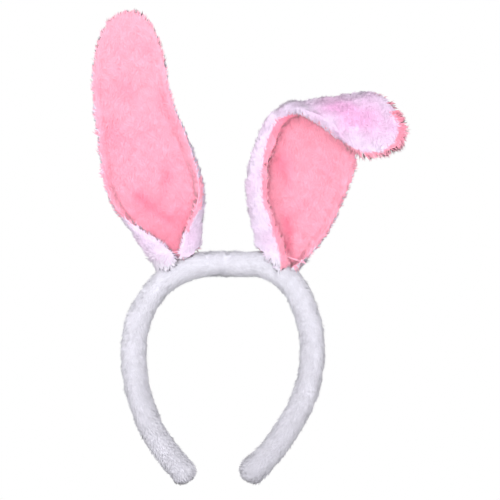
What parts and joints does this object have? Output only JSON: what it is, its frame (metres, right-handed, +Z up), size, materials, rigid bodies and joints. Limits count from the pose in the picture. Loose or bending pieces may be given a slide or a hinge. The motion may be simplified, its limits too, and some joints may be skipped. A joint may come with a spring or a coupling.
{
  "type": "animal ears headband",
  "caption": "Plush-covered sprung hoop headband with wired bunny ears; one ear stands up, the other folds forward over its own wire.",
  "frame": {"origin": "middle of the small flat under the crown of the hoop, where the band rests on the top of the head", "axes": "+Z up through the crown, +X to the viewer's right, -Y forward: the pink linings of the ears face -Y"},
  "size_m": [0.2477, 0.0449, 0.3765],
  "materials": {
    "white_plush": "short soft pile, matte, faintly lilac white",
    "pink_plush": "short soft pile, matte, soft pink",
    "foam": "open-cell foam padding, matte",
    "strip_plastic": "moulded spring plastic strip",
    "ear_wire": "drawn soft steel wire",
    "thread": "spun sewing thread"
  },
  "bodies": {
    "crown": {"crown_cover": "white_plush", "crown_foam": "foam", "crown_core": "strip_plastic", "crown_cover_seam": "white_plush", "crown_wire_tail_left": "ear_wire", "crown_wire_tail_right": "ear_wire"},
    "arm_left": {"arm_left_cover": "white_plush", "arm_left_foam": "foam", "arm_left_core": "strip_plastic", "arm_left_cover_seam": "white_plush", "arm_left_end_cap": "white_plush"},
    "arm_right": {"arm_right_cover": "white_plush", "arm_right_foam": "foam", "arm_right_core": "strip_plastic", "arm_right_cover_seam": "white_plush", "arm_right_end_cap": "white_plush"},
    "ear_left": {"ear_left_lining": "pink_plush", "ear_left_back": "white_plush", "ear_left_margin_inner": "white_plush", "ear_left_margin_outer": "white_plush", "ear_left_wire_inner": "ear_wire", "ear_left_wire_outer": "ear_wire", "ear_left_tack": "thread"},
    "ear_left_tip": {"ear_left_tip_lining": "pink_plush", "ear_left_tip_back": "white_plush", "ear_left_tip_margin": "white_plush", "ear_left_tip_wire": "ear_wire"},
    "ear_right": {"ear_right_lining": "pink_plush", "ear_right_back": "white_plush", "ear_right_margin_inner": "white_plush", "ear_right_margin_outer": "white_plush", "ear_right_wire_inner": "ear_wire", "ear_right_wire_outer": "ear_wire", "ear_right_tack": "thread"},
    "ear_right_tip": {"ear_right_tip_lining": "pink_plush", "ear_right_tip_back": "white_plush", "ear_right_tip_margin": "white_plush", "ear_right_tip_wire": "ear_wire"}
  },
  "joints": [
    {"name": "arm_left_flex", "type": "hinge", "parent": "crown", "child": "arm_left", "pos_m": [-0.07187, 0, -0.01973], "axis": [0, 1, 0], "range_deg": [-4, 15], "stiffness_Nm_per_rad": 1.2},
    {"name": "arm_right_flex", "type": "hinge", "parent": "crown", "child": "arm_right", "pos_m": [0.07239, 0, -0.01726], "axis": [0, -1, 0], "range_deg": [-4, 15], "stiffness_Nm_per_rad": 1.2},
    {"name": "ear_left_tilt", "type": "hinge", "parent": "crown", "child": "ear_left", "pos_m": [-0.03209, 0, 0.00437], "axis": [0.9023, 0, 0.431], "range_deg": [-25, 25]},
    {"name": "ear_left_tip_bend", "type": "hinge", "parent": "ear_left", "child": "ear_left_tip", "pos_m": [-0.06842, -0.0085, 0.12684], "axis": [0.9749, 0, 0.2227], "range_deg": [0, 110]},
    {"name": "ear_right_tilt", "type": "hinge", "parent": "crown", "child": "ear_right", "pos_m": [0.04195, 0, 0.00327], "axis": [0.8732, 0, -0.4873], "range_deg": [-25, 25]},
    {"name": "ear_right_fold", "type": "hinge", "parent": "ear_right", "child": "ear_right_tip", "pos_m": [0.07543, -0.00795, 0.14251], "axis": [-0.9877, 0, -0.1564], "range_deg": [0, 150]}
  ]
}
